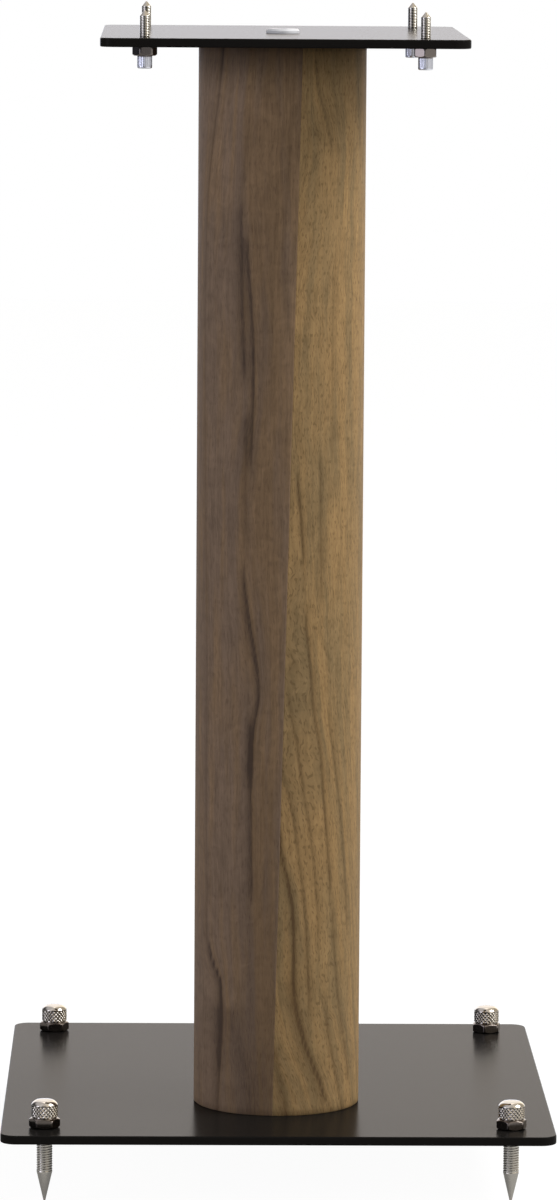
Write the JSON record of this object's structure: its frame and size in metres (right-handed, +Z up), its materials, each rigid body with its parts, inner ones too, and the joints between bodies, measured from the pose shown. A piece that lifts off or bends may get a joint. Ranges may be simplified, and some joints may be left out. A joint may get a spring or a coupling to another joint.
{
  "type": "speaker stand",
  "caption": "Floor-standing speaker stand: round veneered column between two black steel plates, with adjustable spikes below and pointed pins on top.",
  "frame": {"origin": "on the floor, at the level of the spike tips, under the middle of the base plate", "axes": "+Z up, -Y to the front, where the column stands nearer the edge, +X to the right as seen from the front"},
  "size_m": [0.28, 0.3, 0.6],
  "materials": {
    "plate": "satin black powder coat",
    "core": "raw fibreboard",
    "veneer": "walnut veneer under satin lacquer",
    "insert": "plain turned",
    "screw": "nickel plated",
    "spike": "satin nickel plated",
    "pin": "bright nickel plated",
    "knob": "bright nickel plated, knurled",
    "nut": "bright nickel plated"
  },
  "bodies": {
    "stand": {"base_plate": "plate", "top_plate": "plate", "column_core": "core", "veneer_left": "veneer", "veneer_right": "veneer", "bottom_plug": "core", "top_plug": "core", "bottom_insert": "insert", "top_insert": "insert", "bottom_screw": "screw", "top_screw": "screw"},
    "base_spike_front_left": {"base_spike_front_left": "spike"},
    "spike_cap_front_left": {"spike_cap_front_left": "knob"},
    "base_nut_front_left": {"base_nut_front_left": "nut"},
    "top_pin_front_left": {"top_pin_front_left": "pin"},
    "pin_head_front_left": {"pin_head_front_left": "knob"},
    "top_nut_front_left": {"top_nut_front_left": "nut"},
    "base_spike_front_right": {"base_spike_front_right": "spike"},
    "spike_cap_front_right": {"spike_cap_front_right": "knob"},
    "base_nut_front_right": {"base_nut_front_right": "nut"},
    "top_pin_front_right": {"top_pin_front_right": "pin"},
    "pin_head_front_right": {"pin_head_front_right": "knob"},
    "top_nut_front_right": {"top_nut_front_right": "nut"},
    "base_spike_back_left": {"base_spike_back_left": "spike"},
    "spike_cap_back_left": {"spike_cap_back_left": "knob"},
    "base_nut_back_left": {"base_nut_back_left": "nut"},
    "top_pin_back_left": {"top_pin_back_left": "pin"},
    "pin_head_back_left": {"pin_head_back_left": "knob"},
    "top_nut_back_left": {"top_nut_back_left": "nut"},
    "base_spike_back_right": {"base_spike_back_right": "spike"},
    "spike_cap_back_right": {"spike_cap_back_right": "knob"},
    "base_nut_back_right": {"base_nut_back_right": "nut"},
    "top_pin_back_right": {"top_pin_back_right": "pin"},
    "pin_head_back_right": {"pin_head_back_right": "knob"},
    "top_nut_back_right": {"top_nut_back_right": "nut"}
  },
  "joints": [
    {"name": "base_spike_front_left_lift", "type": "slide", "parent": "stand", "child": "base_spike_front_left", "axis": [0, 0, 1], "range_m": [0, 0.01]},
    {"name": "spike_cap_front_left_turn", "type": "hinge", "parent": "base_spike_front_left", "child": "spike_cap_front_left", "pos_m": [-0.118, -0.128, 0.043], "axis": [0, 0, 1], "range_deg": [0, 2880]},
    {"name": "base_nut_front_left_turn", "type": "hinge", "parent": "stand", "child": "base_nut_front_left", "pos_m": [-0.118, -0.128, 0.038], "axis": [0, 0, 1], "continuous": true},
    {"name": "top_pin_front_left_lift", "type": "slide", "parent": "stand", "child": "top_pin_front_left", "axis": [0, 0, 1], "range_m": [-0.008, 0]},
    {"name": "pin_head_front_left_turn", "type": "hinge", "parent": "top_pin_front_left", "child": "pin_head_front_left", "pos_m": [-0.0695, -0.128, 0.575], "axis": [0, 0, 1], "range_deg": [-3600, 0]},
    {"name": "top_nut_front_left_turn", "type": "hinge", "parent": "stand", "child": "top_nut_front_left", "pos_m": [-0.0695, -0.128, 0.58], "axis": [0, 0, 1], "continuous": true},
    {"name": "base_spike_front_right_lift", "type": "slide", "parent": "stand", "child": "base_spike_front_right", "axis": [0, 0, 1], "range_m": [0, 0.01]},
    {"name": "spike_cap_front_right_turn", "type": "hinge", "parent": "base_spike_front_right", "child": "spike_cap_front_right", "pos_m": [0.118, -0.128, 0.043], "axis": [0, 0, 1], "range_deg": [0, 2880]},
    {"name": "base_nut_front_right_turn", "type": "hinge", "parent": "stand", "child": "base_nut_front_right", "pos_m": [0.118, -0.128, 0.038], "axis": [0, 0, 1], "continuous": true},
    {"name": "top_pin_front_right_lift", "type": "slide", "parent": "stand", "child": "top_pin_front_right", "axis": [0, 0, 1], "range_m": [-0.008, 0]},
    {"name": "pin_head_front_right_turn", "type": "hinge", "parent": "top_pin_front_right", "child": "pin_head_front_right", "pos_m": [0.0695, -0.128, 0.575], "axis": [0, 0, 1], "range_deg": [-3600, 0]},
    {"name": "top_nut_front_right_turn", "type": "hinge", "parent": "stand", "child": "top_nut_front_right", "pos_m": [0.0695, -0.128, 0.58], "axis": [0, 0, 1], "continuous": true},
    {"name": "base_spike_back_left_lift", "type": "slide", "parent": "stand", "child": "base_spike_back_left", "axis": [0, 0, 1], "range_m": [0, 0.01]},
    {"name": "spike_cap_back_left_turn", "type": "hinge", "parent": "base_spike_back_left", "child": "spike_cap_back_left", "pos_m": [-0.118, 0.128, 0.043], "axis": [0, 0, 1], "range_deg": [0, 2880]},
    {"name": "base_nut_back_left_turn", "type": "hinge", "parent": "stand", "child": "base_nut_back_left", "pos_m": [-0.118, 0.128, 0.038], "axis": [0, 0, 1], "continuous": true},
    {"name": "top_pin_back_left_lift", "type": "slide", "parent": "stand", "child": "top_pin_back_left", "axis": [0, 0, 1], "range_m": [-0.008, 0]},
    {"name": "pin_head_back_left_turn", "type": "hinge", "parent": "top_pin_back_left", "child": "pin_head_back_left", "pos_m": [-0.0695, 0.044, 0.575], "axis": [0, 0, 1], "range_deg": [-3600, 0]},
    {"name": "top_nut_back_left_turn", "type": "hinge", "parent": "stand", "child": "top_nut_back_left", "pos_m": [-0.0695, 0.044, 0.58], "axis": [0, 0, 1], "continuous": true},
    {"name": "base_spike_back_right_lift", "type": "slide", "parent": "stand", "child": "base_spike_back_right", "axis": [0, 0, 1], "range_m": [0, 0.01]},
    {"name": "spike_cap_back_right_turn", "type": "hinge", "parent": "base_spike_back_right", "child": "spike_cap_back_right", "pos_m": [0.118, 0.128, 0.043], "axis": [0, 0, 1], "range_deg": [0, 2880]},
    {"name": "base_nut_back_right_turn", "type": "hinge", "parent": "stand", "child": "base_nut_back_right", "pos_m": [0.118, 0.128, 0.038], "axis": [0, 0, 1], "continuous": true},
    {"name": "top_pin_back_right_lift", "type": "slide", "parent": "stand", "child": "top_pin_back_right", "axis": [0, 0, 1], "range_m": [-0.008, 0]},
    {"name": "pin_head_back_right_turn", "type": "hinge", "parent": "top_pin_back_right", "child": "pin_head_back_right", "pos_m": [0.0695, 0.044, 0.575], "axis": [0, 0, 1], "range_deg": [-3600, 0]},
    {"name": "top_nut_back_right_turn", "type": "hinge", "parent": "stand", "child": "top_nut_back_right", "pos_m": [0.0695, 0.044, 0.58], "axis": [0, 0, 1], "continuous": true}
  ],
  "couplings": [
    {"joint": "spike_cap_front_left_turn", "follows": "base_spike_front_left_lift", "rad_per_m": 5026.5},
    {"joint": "pin_head_front_left_turn", "follows": "top_pin_front_left_lift", "rad_per_m": 7854},
    {"joint": "spike_cap_front_right_turn", "follows": "base_spike_front_right_lift", "rad_per_m": 5026.5},
    {"joint": "pin_head_front_right_turn", "follows": "top_pin_front_right_lift", "rad_per_m": 7854},
    {"joint": "spike_cap_back_left_turn", "follows": "base_spike_back_left_lift", "rad_per_m": 5026.5},
    {"joint": "pin_head_back_left_turn", "follows": "top_pin_back_left_lift", "rad_per_m": 7854},
    {"joint": "spike_cap_back_right_turn", "follows": "base_spike_back_right_lift", "rad_per_m": 5026.5},
    {"joint": "pin_head_back_right_turn", "follows": "top_pin_back_right_lift", "rad_per_m": 7854}
  ]
}
